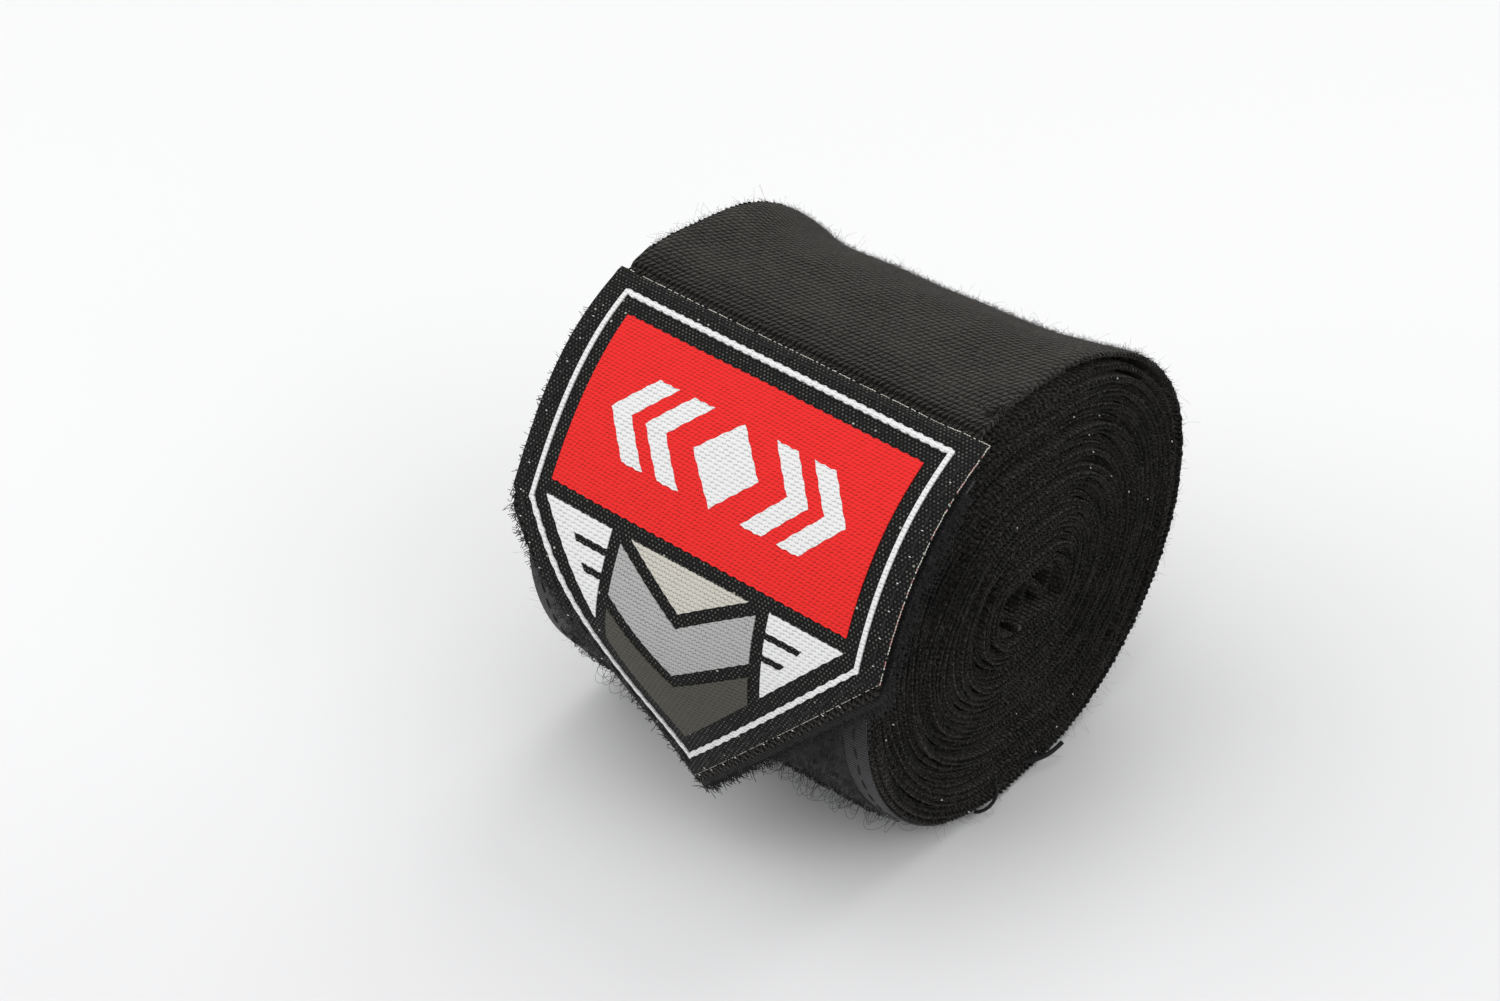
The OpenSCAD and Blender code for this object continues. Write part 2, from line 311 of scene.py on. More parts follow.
def soften_edges(bm, half, depth, width):
    """Rounds a band's long edges by closing its two faces towards each other near them."""
    heights = [v.co.z for v in bm.verts]
    middle = (min(heights) + max(heights)) / 2
    for v in bm.verts:
        near = max(0.0, (abs(v.co.x) - (half - width)) / width)
        v.co.z = middle + (v.co.z - middle) * (1 - depth * near * near)


def inside(point, outline):
    """Whether a flat point is inside a closed outline."""
    x, y = point
    hit = False
    for (x0, y0), (x1, y1) in zip(outline, outline[1:] + outline[:1]):
        if (y0 > y) != (y1 > y) and x < (x1 - x0) * (y - y0) / (y1 - y0) + x0:
            hit = not hit
    return hit


def cut_cloth(outlines, holes, step, top, bottom, scallop=0.0):
    """Cloth cut flat to outlines less holes, as a bmesh with two faces."""
    points = [p for outline in outlines for p in outline]
    low = [min(p[k] for p in points) - 0.01 for k in (0, 1)]
    high = [max(p[k] for p in points) + 0.01 for k in (0, 1)]
    bm = bmesh.new()
    bmesh.ops.create_grid(
        bm,
        x_segments=max(1, round((high[0] - low[0]) / step)),
        y_segments=max(1, round((high[1] - low[1]) / step)),
        size=0.5,
    )
    for v in bm.verts:
        v.co = (low[0] + (v.co.x + 0.5) * (high[0] - low[0]), low[1] + (v.co.y + 0.5) * (high[1] - low[1]), top)
    for outline in outlines + holes:
        for (x0, y0), (x1, y1) in zip(outline, outline[1:] + outline[:1]):
            bmesh.ops.bisect_plane(
                bm,
                geom=bm.verts[:] + bm.edges[:] + bm.faces[:],
                dist=1e-4,
                plane_co=(x0, y0, 0),
                plane_no=(y1 - y0, x0 - x1, 0),
            )
    gone = []
    for face in bm.faces:
        c = face.calc_center_median().to_2d()
        kept = any(inside(c, o) for o in outlines) and not any(inside(c, h) for h in holes)
        if not kept:
            gone.append(face)
    bmesh.ops.delete(bm, geom=gone, context="FACES")
    bmesh.ops.remove_doubles(bm, verts=bm.verts[:], dist=0.02)
    if scallop:
        for v in bm.verts:
            if v.is_boundary:
                v.co.y += scallop * math.cos(2 * PI * v.co.x / 1.3)
    bmesh.ops.solidify(bm, geom=bm.faces[:], thickness=top - bottom)
    level(bm, top, bottom)
    return bm


def grain_template(detail):
    """A small round grain of unit size: its points and its faces."""
    bm = bmesh.new()
    bmesh.ops.create_icosphere(bm, subdivisions=detail, radius=0.5)
    mesh = bpy.data.meshes.new("grain")
    bm.to_mesh(mesh)
    bm.free()
    faces = [tuple(p.vertices) for p in mesh.polygons]
    co = coordinates(mesh)
    bpy.data.meshes.remove(mesh)
    return co, np.array(faces)


def scatter(name, places, size, surface, material, detail=1):
    """Many small grains on a surface. A place is (across, along, height, turn in degrees, tilt in degrees)."""
    base, faces = grain_template(detail)
    base = base * np.array(size)
    places = np.array(places, float)
    turn, tilt = np.radians(places[:, 3]), np.radians(places[:, 4])
    x, y, z = (base[None, :, k] for k in range(3))
    # The tilt lifts one end of the grain, and the turn swings it on the cloth.
    y2 = y * np.cos(tilt)[:, None] - z * np.sin(tilt)[:, None]
    z2 = y * np.sin(tilt)[:, None] + z * np.cos(tilt)[:, None]
    x3 = x * np.cos(turn)[:, None] - y2 * np.sin(turn)[:, None]
    y3 = x * np.sin(turn)[:, None] + y2 * np.cos(turn)[:, None]
    flat = np.stack([x3, y3, z2], -1) + places[:, None, :3]
    count = len(base)
    all_faces = (faces[None] + count * np.arange(len(places))[:, None, None]).reshape(-1, 3)
    flat = flat.reshape(-1, 3)
    mesh = bpy.data.meshes.new(name)
    mesh.from_pydata(flat.tolist(), [], all_faces.tolist())
    flat_uv(mesh, flat)
    set_coordinates(mesh, surface(flat) * MM)
    mesh.flip_normals()
    mesh.shade_smooth()
    return add_object(name, mesh, material)


def fibres(name, lines, thickness, material, sides=0):
    """Thin fibres, each a list of points in metres, as one curve piece."""
    data = bpy.data.curves.new(name, "CURVE")
    data.dimensions = "3D"
    data.bevel_depth = thickness / 2 * MM
    data.bevel_resolution = sides
    data.use_fill_caps = True
    for points in lines:
        spline = data.splines.new("POLY")
        spline.points.add(len(points) - 1)
        spline.points.foreach_set("co", np.hstack([points, np.ones((len(points), 1))]).ravel())
    return add_object(name, data, material)


# ---------------------------------------------------------------- materials


class Shader:
    """A material's node tree with short ways to add nodes."""

    def __init__(self, name, roughness, sheen=0.0, sheen_tint=(1, 1, 1), sheen_rough=0.5, specular=0.5):
        self.material = bpy.data.materials.new(name)
        self.material.use_nodes = True
        self.tree = self.material.node_tree
        self.bsdf = self.tree.nodes["Principled BSDF"]
        self.bsdf.inputs["Roughness"].default_value = roughness
        self.bsdf.inputs["Sheen Weight"].default_value = sheen
        self.bsdf.inputs["Sheen Tint"].default_value = (*sheen_tint, 1)
        self.bsdf.inputs["Sheen Roughness"].default_value = sheen_rough
        self.bsdf.inputs["Specular IOR Level"].default_value = specular

    def put(self, socket, value):
        if isinstance(value, bpy.types.NodeSocket):
            self.tree.links.new(value, socket)
        else:
            socket.default_value = value

    def math(self, operation, a, b=0.0):
        node = self.tree.nodes.new("ShaderNodeMath")
        node.operation = operation
        self.put(node.inputs[0], a)
        self.put(node.inputs[1], b)
        return node.outputs[0]

    def flat_place(self):
        """The cloth's own flat coordinates, in millimetres."""
        node = self.tree.nodes.new("ShaderNodeUVMap")
        node.uv_map = "cloth"
        split = self.tree.nodes.new("ShaderNodeSeparateXYZ")
        self.tree.links.new(node.outputs[0], split.inputs[0])
        return node.outputs[0], split.outputs[0], split.outputs[1]

    def object_place(self):
        node = self.tree.nodes.new("ShaderNodeTexCoord")
        return node.outputs["Object"]

    def noise(self, vector, scale, detail=3.0, rough=0.6):
        node = self.tree.nodes.new("ShaderNodeTexNoise")
        self.tree.links.new(vector, node.inputs["Vector"])
        node.inputs["Scale"].default_value = scale
        node.inputs["Detail"].default_value = detail
        node.inputs["Roughness"].default_value = rough
        return node.outputs["Fac"]

    def mix(self, factor, a, b):
        """A colour between a and b."""
        node = self.tree.nodes.new("ShaderNodeMix")
        node.data_type = "RGBA"
        self.put(node.inputs[0], factor)
        self.put(node.inputs[6], (*a, 1) if isinstance(a, tuple) else a)
        self.put(node.inputs[7], (*b, 1) if isinstance(b, tuple) else b)
        return node.outputs[2]

    def spread(self, value, low, high, to_low=0.0, to_high=1.0):
        """Stretches a value's range."""
        node = self.tree.nodes.new("ShaderNodeMapRange")
        node.interpolation_type = "SMOOTHSTEP"
        self.put(node.inputs[0], value)
        for k, number in enumerate((low, high, to_low, to_high)):
            node.inputs[k + 1].default_value = number
        return node.outputs[0]

    def colour(self, value):
        self.put(self.bsdf.inputs["Base Color"], value)

    def bump(self, height, depth_mm):
        node = self.tree.nodes.new("ShaderNodeBump")
        node.inputs["Distance"].default_value = depth_mm * MM
        self.put(node.inputs["Height"], height)
        self.tree.links.new(node.outputs[0], self.bsdf.inputs["Normal"])

    def cells(self, x, s, pitch_x, pitch_s, stagger, slant=0.0):
        """Staggered weave cells: a hump across each cell, a hump along it, and one chance number per cell."""
        rows = self.math("DIVIDE", s, pitch_s)
        row = self.math("FLOOR", rows)
        across = self.math("ADD", self.math("DIVIDE", x, pitch_x), self.math("MULTIPLY", row, stagger))
        if slant:
            across = self.math("ADD", across, self.math("MULTIPLY", self.math("FRACT", rows), slant))
        hump_x = self.math("SINE", self.math("MULTIPLY", self.math("FRACT", across), PI))
        hump_s = self.math("SINE", self.math("MULTIPLY", self.math("FRACT", rows), PI))
        cell = self.tree.nodes.new("ShaderNodeCombineXYZ")
        self.put(cell.inputs[0], self.math("FLOOR", across))
        self.put(cell.inputs[1], row)
        chance = self.tree.nodes.new("ShaderNodeTexWhiteNoise")
        self.tree.links.new(cell.outputs[0], chance.inputs["Vector"])
        return hump_x, hump_s, chance.outputs["Value"]

    def shifted(self, value, wander, amount):
        """A coordinate moved about by a noise."""
        return self.math("ADD", value, self.math("MULTIPLY", self.math("SUBTRACT", wander, 0.5), amount))


def cotton(name, dark, light, sheen=0.18):
    """Matte elastic cotton weave of staggered grains, with soft fuzz, uneven dye and painted shade along the tab's
    seam.
    """
    sh = Shader(name, 0.92, sheen=sheen, sheen_tint=(0.93, 0.88, 0.80), sheen_rough=0.27, specular=0.10)
    uv, x, along = sh.flat_place()
    slow, quick = sh.noise(uv, 0.5, 2.0), sh.noise(uv, 2.3, 2.0)
    s = sh.shifted(sh.shifted(along, slow, 0.6), quick, 0.45)
    x = sh.shifted(x, quick, 0.5)
    hump_x, hump_s, chance = sh.cells(x, s, 0.72, 0.74, 0.5, 0.25)
    grain = sh.math("MULTIPLY", hump_x, hump_s)
    fibre = sh.noise(uv, 7.0, 4.0, 0.75)
    height = sh.math("ADD", grain, sh.math("MULTIPLY", fibre, 0.55))
    worn = sh.math("ADD", height, sh.math("MULTIPLY", chance, 0.45))
    shade = sh.mix(sh.spread(worn, 0.6, 1.5), dark, light)
    patch = sh.spread(sh.noise(uv, 0.16, 2.0), 0.35, 0.7, 0.0, 0.3)
    worn_shade = sh.mix(patch, shade, tuple(c * 1.6 + 0.002 for c in light))
    # Painted shade: the colour is darkened along the seam at the tab's upper edge, standing for the shade in the furrow
    # beside the label.
    seam_shade = sh.spread(along, S_TAB - 5.5, S_TAB - 1.3, 0.0, 0.9)
    sh.colour(sh.mix(seam_shade, worn_shade, tuple(c * 2 for c in dark)))
    sh.bump(height, 0.42)
    return sh.material


def edge_cotton(name, dark, light):
    """The same yarn where it turns at the band's edge: soft, round and slightly fuzzy."""
    sh = Shader(name, 0.95, sheen=0.12, sheen_tint=(0.9, 0.86, 0.82), sheen_rough=0.4, specular=0.08)
    place = sh.object_place()
    fibre = sh.noise(place, 5200.0, 3.0, 0.7)
    patch = sh.noise(place, 260.0, 3.0, 0.65)
    tone = sh.math("MULTIPLY", sh.spread(fibre, 0.3, 0.7), sh.spread(patch, 0.25, 0.7))
    sh.colour(sh.mix(tone, dark, light))
    sh.bump(fibre, 0.06)
    return sh.material


def label_thread(name, valley, crown, pitch_x, pitch_s, stagger, depth=0.10, speck=None):
    """Silky label yarn in fine staggered floats, with small dark pricks between them, or pale ones if given a speck."""
    sh = Shader(name, 0.6, sheen=0.03, sheen_rough=0.35, specular=0.12)
    uv, x, s = sh.flat_place()
    s = sh.shifted(s, sh.noise(uv, 1.4, 2.0), 0.16)
    hump_x, hump_s, chance = sh.cells(x, s, pitch_x, pitch_s, stagger)
    fine = sh.math("MULTIPLY", sh.noise(uv, 6.0, 3.0, 0.7), 0.22)
    if speck:
        height = sh.math("ADD", sh.math("MULTIPLY", hump_x, hump_s), fine)
        shade = sh.mix(sh.spread(height, 0.45, 1.1), valley, crown)
        dot = sh.math("MULTIPLY", sh.spread(height, 0.8, 1.1), sh.spread(chance, 0.1, 0.9))
        shade = sh.mix(sh.math("MULTIPLY", dot, 0.3), shade, speck)
        shade = sh.mix(sh.math("MULTIPLY", sh.spread(chance, 0.99, 0.997), sh.spread(height, 0.5, 0.9)), shade, speck)
    else:
        height = sh.math("ADD", sh.math("MULTIPLY", sh.math("ADD", hump_x, hump_s), 0.5), fine)
        tone = sh.math("ADD", height, sh.math("MULTIPLY", chance, 0.16))
        shade = sh.mix(sh.spread(tone, 0.26, 0.76), valley, crown)
    sh.colour(shade)
    sh.bump(height, depth)
    return sh.material


def ribbed_tape(name, dark, light):
    """Nylon tape with fine ribs across its length."""
    sh = Shader(name, 0.65, sheen=0.1, sheen_rough=0.4, specular=0.25)
    uv, x, s = sh.flat_place()
    hump_x, hump_s, _ = sh.cells(x, s, 0.9, 0.42, 0.25)
    rib = sh.math("MULTIPLY", sh.math("ADD", hump_s, sh.math("MULTIPLY", hump_x, 0.4)), 0.7)
    height = sh.math("ADD", rib, sh.math("MULTIPLY", sh.noise(uv, 5.0, 3.0), 0.3))
    sh.colour(sh.mix(sh.spread(height, 0.3, 1.1), dark, light))
    sh.bump(height, 0.10)
    return sh.material


def yarn(name, dark, light, sheen=0.3, roughness=0.7, scale=3000.0):
    """Plain yarn, fibre or thread with a little variation."""
    sh = Shader(name, roughness, sheen=sheen, sheen_rough=0.4, specular=0.3)
    fibre = sh.noise(sh.object_place(), scale, 3.0, 0.7)
    sh.colour(sh.mix(sh.spread(fibre, 0.3, 0.7), dark, light))
    sh.bump(fibre, 0.03)
    return sh.material


def paper_floor():
    """Smooth pale sweep that the roll rests on, with painted shade making it darker towards the front."""
    sh = Shader("pale_floor", 0.6, specular=0.2)
    place = sh.object_place()
    split = sh.tree.nodes.new("ShaderNodeSeparateXYZ")
    sh.tree.links.new(place, split.inputs[0])
    # Painted shade: the floor's colour darkens towards the front, standing for the light falling off away from the
    # lamps.
    back, across = sh.math("MULTIPLY", split.outputs[1], 0.79), sh.math("MULTIPLY", split.outputs[0], 0.61)
    depth = sh.math("SUBTRACT", back, across)
    grain = sh.math("MULTIPLY", sh.noise(place, 18.0, 3.0), 0.05)
    tone = sh.math("ADD", sh.spread(depth, -0.16, 0.08), grain)
    sh.colour(sh.mix(tone, (0.652, 0.652, 0.659), (0.765, 0.765, 0.767)))
    return sh.material


# Each finish has its deep colour first and then its light one. Label threads go on with the pitch of
# their floats across and along the cloth, in millimetres, and how far each row is shifted.
COTTON = cotton("charcoal_cotton_weave", (0.0009, 0.0009, 0.0009), (0.026, 0.0243, 0.0221))
COTTON_EDGE = edge_cotton("charcoal_cotton_edge", (0.0035, 0.0034, 0.0033), (0.027, 0.0254, 0.0235))
COTTON_FUZZ = yarn("cotton_fuzz", (0.016, 0.015, 0.014), (0.056, 0.051, 0.046), 0.45)
PILE = yarn("loop_pile_yarn", (0.0025, 0.0025, 0.003), (0.014, 0.014, 0.016), 0.05)
TAPE = ribbed_tape("ribbed_black_tape", (0.009, 0.009, 0.010), (0.024, 0.024, 0.026))
HOOK_TAPE = ribbed_tape("hook_tape_weave", (0.005, 0.005, 0.006), (0.02, 0.02, 0.021))
HOOKS = yarn("hook_nylon", (0.03, 0.03, 0.03), (0.06, 0.06, 0.06), 0.0, 0.4)
THREAD = yarn("black_sewing_thread", (0.003, 0.003, 0.003), (0.012, 0.012, 0.012), 0.03, 0.8)
LINT = yarn("white_lint", (0.6, 0.6, 0.6), (0.9, 0.9, 0.9), 0.3)
CUT_ENDS = yarn("cut_cream_yarn", (0.45, 0.42, 0.36), (0.8, 0.78, 0.7), 0.3, scale=900.0)
PINK_ENDS = yarn("cut_pink_yarn", (0.35, 0.10, 0.10), (0.75, 0.5, 0.46), 0.3, scale=700.0)
LABEL_BLACK = label_thread(
    "label_black_ground", (0.0012, 0.0012, 0.0012), (0.019, 0.020, 0.018), 0.50, 0.40, 0.5, 0.07, (0.34, 0.36, 0.31)
)
LABEL_RED = label_thread("label_red_thread", (0.17, 0.004, 0.005), (0.72, 0.019, 0.017), 0.62, 0.42, 0.37)
LABEL_WHITE = label_thread("label_white_thread", (0.30, 0.304, 0.308), (0.69, 0.69, 0.685), 0.85, 0.46, 0.37)
LABEL_CREAM = label_thread("label_cream_thread", (0.11, 0.106, 0.09), (0.51, 0.49, 0.435), 0.60, 0.46, 0.5)
LABEL_SILVER = label_thread("label_silver_thread", (0.06, 0.06, 0.06), (0.36, 0.36, 0.355), 0.60, 0.46, 0.5)
LABEL_OLIVE = label_thread("label_olive_thread", (0.007, 0.007, 0.006), (0.072, 0.068, 0.056), 0.60, 0.46, 0.5)


# ---------------------------------------------------------------- the band


S_OUTER = float(np.interp(TURNS - 0.85, LINE[:, 4], LINE_S))
# From here outwards the band's edges show a coarser, looser yarn.
S_ROPE = float(np.interp(TURNS - 1.7, LINE[:, 4], LINE_S))
# Grains of yarn at the band's edges: from one to the next, and their width, length and height.
FINE_PITCH, FINE_GRAIN = 0.56, (0.60, 0.88, 0.33)
ROPE_PITCH, ROPE_GRAIN = 0.78, (0.72, 1.12, 0.46)


def make_band():
    """The close turns, the loose outer turn and the yarn that turns at both long edges."""
    edge = BAND_HALF - 0.25
    bm = strip(-edge, edge, 0, S_OUTER, 2 * edge / 3, 1.1, 0.0, -CLOTH_T + 0.12)
    for v in bm.verts:
        if abs(v.co.x) < edge - 1:
            v.co.x = math.copysign(edge - 1.2, v.co.x)
    close_turns = finish(wrapped("band_close_turns", bm, on_band, COTTON), "roll", "band_cotton", "wrap_band")

    bm = strip(-BAND_HALF, BAND_HALF, S_OUTER, S_TAB - TAIL_LEAD, 1.0, 0.8, 0.0, TAB_UNDER)
    soften_edges(bm, BAND_HALF, 0.6, 0.8)
    outer_turn = finish(wrapped("band_outer_turn", bm, on_band, COTTON), "roll", "band_cotton", "wrap_band")

    rng = random.Random(11)
    for side, name in ((1, "edge_yarn_right"), (-1, "edge_yarn_left")):
        for part, start, end, pitch, size in (
            (name, 1.0, S_ROPE, FINE_PITCH, FINE_GRAIN),
            ("outer_" + name, S_ROPE, S_TAB - TAIL_LEAD - 0.3, ROPE_PITCH, ROPE_GRAIN),
        ):
            places = []
            s = start
            while s < end:
                places.append(
                    (side * (BAND_HALF - 0.12 + rng.uniform(-0.07, 0.07)), s, -CLOTH_T / 2 + rng.uniform(-0.04, 0.04),
                     rng.uniform(-10, 10), 33 + rng.uniform(-9, 9))
                )
                s += pitch * rng.uniform(0.94, 1.06)
            finish(scatter(part, places, size, on_band, COTTON_EDGE), "roll", "band_cotton", "wrap_band")


def make_fuzz():
    """Fine loose fibres that stand off the band's face and its edges."""
    rng = random.Random(5)
    last = S_TAB - TAIL_LEAD

    def fibre(on_edge, length, count):
        if on_edge:
            side = rng.choice((-1, 1))
            s = last - 0.8 - (last - S_OUTER * 0.02) * rng.random() ** 1.5
            start = np.array([side * (BAND_HALF - 0.1), s, rng.uniform(-0.5, 0.0)])
            way = np.array([side * rng.uniform(0.3, 1.0), rng.uniform(-1, 1), rng.uniform(-0.3, 1.2)])
        else:
            start = np.array([rng.uniform(-BAND_HALF, BAND_HALF), rng.uniform(S_OUTER + 12, last - 2.5), -0.1])
            way = np.array([rng.uniform(-1, 1), rng.uniform(-1, 1), rng.uniform(0.3, 1.2)])
        way = way / np.linalg.norm(way) * length / (count - 1)
        bend = np.array([rng.uniform(-1, 1), rng.uniform(-1, 1), rng.uniform(-0.7, 0.3)])
        bend = bend * length / (2.5 * (count - 1) ** 2)
        return on_band(np.array([start + way * k + bend * k * k for k in range(count)])) * MM

    for name, on_edge, count in (("fuzz_on_face", False, 8000), ("fuzz_on_edges", True, 8500)):
        lines = [fibre(on_edge, rng.uniform(0.25, 0.8), 3) for _ in range(count)]
        finish(fibres(name, lines, 0.03, COTTON_FUZZ), "roll", "band_cotton")
    # The fuzz is thickest along the roll's worn top ridge.
    ridge = float(np.interp(TURNS + 0.385, LINE[:, 4], LINE_S))
    lines = []
    for _ in range(6500):
        start = np.array([rng.uniform(-BAND_HALF, BAND_HALF), rng.gauss(ridge, 5.0), -0.1])
        way = np.array([rng.uniform(-1, 1), rng.uniform(-1, 1), rng.uniform(0.2, 1.0)])
        way *= rng.uniform(0.25, 1.0) / np.linalg.norm(way) / 2
        bend = np.array([rng.uniform(-0.1, 0.1), rng.uniform(-0.1, 0.1), rng.uniform(-0.08, 0.02)])
        lines.append(on_band(np.array([start + way * k + bend * k * k for k in range(3)])) * MM)
    finish(fibres("fuzz_on_ridge", lines, 0.024, COTTON_FUZZ), "roll", "band_cotton")
    lines = [fibre(k % 2 == 0, rng.uniform(0.8, 2.8), 6) for k in range(2200)]
    finish(fibres("fuzz_long", lines, 0.02, COTTON_FUZZ), "roll", "band_cotton")

    lines = []
    for _ in range(40):
        start = np.array([BAND_HALF - rng.uniform(0, 0.9), S_TAB - rng.uniform(3.0, 4.0), rng.uniform(-0.3, 0.1)])
        way = np.array([rng.uniform(-0.1, 0.3), rng.uniform(-0.4, 0.15), rng.uniform(0.0, 0.3)]) * rng.uniform(0.5, 1.0)
        bend = np.array([rng.uniform(-0.08, 0.03), rng.uniform(-0.08, 0.03), rng.uniform(-0.10, 0.0)])
        lines.append(on_band(np.array([start + way * k + bend * k * k for k in range(5)])) * MM)
    finish(fibres("corner_fray", lines, 0.1, COTTON_EDGE), "roll", "band_cotton")


def smooth_loop(points, count):
    """A smooth closed line through a few points."""
    pts = np.array(points, float)
    n = len(pts)
    out = []
    for i in range(count):
        t = i / count * n
        k, f = int(t), t - int(t)
        a, b, c, d = (pts[(k + j - 1) % n] for j in range(4))
        out.append(0.5 * (2 * b + (c - a) * f + (2 * a - 5 * b + 4 * c - d) * f**2 + (3 * b - a - 3 * c + d) * f**3))
    return np.array(out)


def make_thumb_loop():
    """The thumb loop, folded flat in the core, and its row of stitches."""
    line = smooth_loop(
        [(5.0, 0.2), (3.9, 1.9), (0.6, 2.25), (-3.4, 2.0), (-5.0, 0.2), (-3.9, -1.7), (-1.7, -1.5), (-0.5, 0.1),
         (0.9, 0.9), (2.0, -0.2), (2.3, -1.7), (4.1, -1.8)],
        96,
    )
    closed = np.vstack([line, line[:1]])
    run = np.concatenate([[0], np.cumsum(np.hypot(*np.diff(closed, axis=0).T))])
    tangent = np.gradient(closed, axis=0)
    tangent[0] = tangent[-1] = (closed[1] - closed[-2]) / 2
    tangent /= np.linalg.norm(tangent, axis=1)[:, None]

    def on_loop(flat):
        x, s, h = flat.T
        y, z, ty, tz = (
            np.interp(s, run, column) for column in (closed[:, 0], closed[:, 1], tangent[:, 0], tangent[:, 1])
        )
        side = 0.25 * np.sin(s * 0.9) * np.sign(x)
        return np.stack([x + side, y + tz * h, MID_Z + z - ty * h], -1)

    half = BAND_HALF - 0.8
    bm = strip(-half, half, 0, run[-1], 2 * half / 12, run[-1] / 96, 0.28, -0.28)
    loop = wrapped("thumb_loop_fold", bm, on_loop, COTTON)
    finish(loop, "roll", "band_cotton", "thumb_loop")
    rng = random.Random(3)
    places = [
        (side * half, s, rng.uniform(-0.06, 0.06), rng.uniform(-15, 15), 35 + rng.uniform(-20, 20))
        for side in (-1, 1)
        for s in np.arange(0.2, run[-1], 0.55)
    ]
    yarn_ends = scatter("thumb_loop_edge_yarn", places, (0.5, 0.8, 0.3), on_loop, COTTON_EDGE)
    finish(yarn_ends, "roll", "band_cotton")

    low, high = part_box("thumb_loop_tack")
    middle = (low + high) / 2 / MM
    lines = []
    for k in range(int((high.x - low.x) / MM / 1.5)):
        x = low.x / MM + 0.2 + 1.5 * k
        ends = [(x, middle.y - 1.1), (x + 0.3, middle.y), (x + 0.1, middle.y + 1.1)]
        lines.append(np.array([(a, b, middle.z + 0.04 * math.cos(j * PI)) for j, (a, b) in enumerate(ends)]) * MM)
    finish(fibres("thumb_loop_stitches", lines, 0.14, THREAD, 1), "roll", "black_thread", "thumb_loop_tack")


# ---------------------------------------------------------------- the tapes


TAPE_HALF = BAND_HALF - 0.3
TAPE_LEN = math.radians(LOOP_TO - LOOP_FROM) * UNDER_R


def make_loop_tape():
    """Loop tape on the turn under the tab: ribbed base, brushed pile, curly loops and seams."""
    bm = strip(-TAPE_HALF, TAPE_HALF, 0, TAPE_LEN, 1.0, 0.8, TAPE_BASE_T, 0.0)
    soften_edges(bm, TAPE_HALF, 0.5, 0.6)
    base = finish(wrapped("loop_tape_weave", bm, on_under, TAPE), "roll", "loop_tape_weave", "loop_tape_base")

    rng = random.Random(21)
    pile_half, root = TAPE_HALF - TAPE_EDGE, TAPE_BASE_T + 0.3
    bm = strip(-pile_half, pile_half, 0.8, TAPE_LEN - 0.8, 0.7, 0.7, TAPE_BASE_T + 0.5 * PILE_H, TAPE_BASE_T)
    for v in bm.verts:
        if v.co.z > TAPE_BASE_T + 0.1:
            rim = min(pile_half - abs(v.co.x), v.co.y - 0.8, TAPE_LEN - 0.8 - v.co.y)
            v.co.z += rng.uniform(-0.12, 0.12) - 0.3 * max(0.0, 1 - rim / 0.8)
    pad = finish(wrapped("loop_pile_bed", bm, on_under, PILE), "roll", "loop_pile", "loop_tape_pile")
    lines = []
    for _ in range(3600):
        x, s = rng.uniform(-pile_half, pile_half), rng.uniform(0.9, TAPE_LEN - 0.9)
        turn, tall, wide = rng.uniform(0, 2 * PI), rng.uniform(0.35, 0.62), rng.uniform(0.2, 0.45)
        lines.append(on_under(curl(x, s, root, turn, tall, wide, 6, rng)) * MM)
    finish(fibres("loop_pile_curls", lines, 0.06, PILE), "roll", "loop_pile")

    lines = []
    for _ in range(230):
        x, s = rng.uniform(-pile_half, pile_half), TAPE_LEN - 16 * rng.random() ** 1.3 - 0.4
        turn, tall, wide = rng.uniform(0, 2 * PI), rng.uniform(0.9, 2.9), rng.uniform(0.5, 1.5)
        places = on_under(curl(x, s, root, turn, tall, wide, 14, rng))
        places[:, 2] = np.maximum(places[:, 2], 0.15)
        lines.append(places * MM)
    finish(fibres("loop_pile_strays", lines, 0.04, PILE), "roll", "loop_pile")

    seam_x = TAPE_HALF - TAPE_EDGE / 2
    rows = [(side * seam_x, s, 0) for side in (-1, 1) for s in np.arange(2.6, TAPE_LEN - 2, STITCH_PITCH)]
    stitches("loop_tape_long_seams", rows, TAPE_BASE_T, on_under, "roll", "loop_tape_side_seams")
    rows = [(x, s, 90) for s in (0.35, TAPE_LEN - 0.35) for x in np.arange(-20, 20.1, STITCH_PITCH)]
    stitches("loop_tape_cross_seams", rows, TAPE_BASE_T, on_under, "roll", "loop_tape_end_seams")


def curl(x, s, h, turn, tall, wide, count, rng):
    """A small loop of fibre standing on cloth, in flat coordinates."""
    skew = rng.uniform(-0.5, 0.5)
    points = []
    for k in range(count):
        a = PI * (1.25 * k / (count - 1) - 0.125)
        out = -wide * math.cos(a)
        up = tall * max(-0.2, math.sin(a))
        points.append((x + out * math.cos(turn) + skew * up, s + out * math.sin(turn), h + up))
    return np.array(points)


def stitches(name, rows, height, surface, body, node):
    """Short lying stitches of sewing thread. A row is (across, along, turn in degrees)."""
    rng = random.Random(len(rows))
    places = [(x, s, height + 0.02, turn + rng.uniform(-4, 4), 0) for x, s, turn in rows]
    return finish(scatter(name, places, (0.30, 2.1, 0.26), surface, THREAD, 2), body, "black_thread", node)


def shield(inset, top, point_inset=None):
    """The tab's pointed outline in flat coordinates, moved in by a distance at the sides and at the point."""
    half = TAB_W / 2
    slope = (TAB_LEN - SIDE_LEN) / half
    off = (inset if point_inset is None else point_inset) * math.sqrt(1 + slope * slope)
    side = half - inset
    corner = TAB_LEN - slope * side - off
    return [(-side, top), (side, top), (side, corner), (0.0, TAB_LEN - off), (-side, corner)]


# From one row of hooks to the next, and from one hook to the next in its row.
HOOK_ROW = 1.25
HOOK_STEP = 1.4


